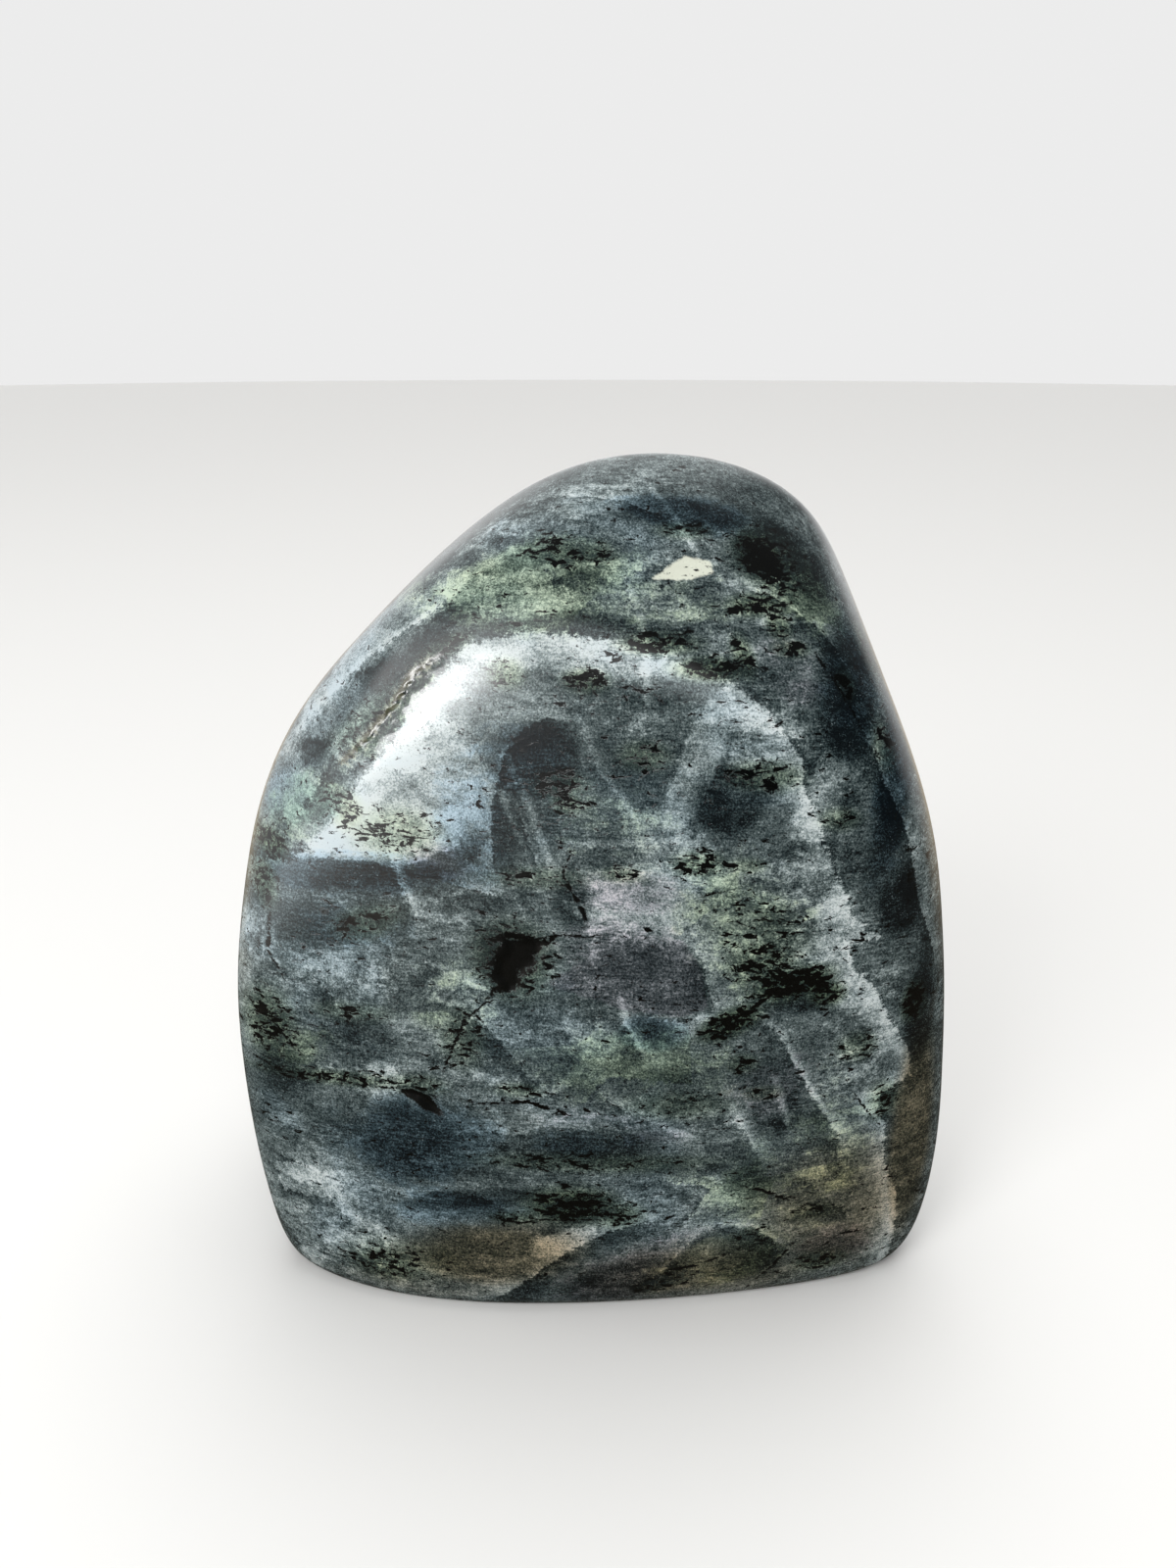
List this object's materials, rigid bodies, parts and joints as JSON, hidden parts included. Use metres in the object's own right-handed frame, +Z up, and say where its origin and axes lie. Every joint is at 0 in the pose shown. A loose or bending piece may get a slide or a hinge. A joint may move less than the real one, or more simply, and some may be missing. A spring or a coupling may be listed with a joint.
{
  "type": "labradorite freeform",
  "caption": "Upright polished labradorite stone, hand-ground all round with a broad arched front face and a flat cut base to stand on.",
  "frame": {"origin": "the middle of the base, on the surface that the stone stands on", "axes": "+Z up, along the stone's height, its longest side; the broad polished front faces -Y, so Y runs through the stone's thickness, its shortest side; +X is to the right when one looks at the front"},
  "size_m": [0.1304, 0.0772, 0.1491],
  "materials": {
    "polished_labradorite": "polished"
  },
  "bodies": {
    "root": {"stone": "polished_labradorite"}
  },
  "joints": []
}
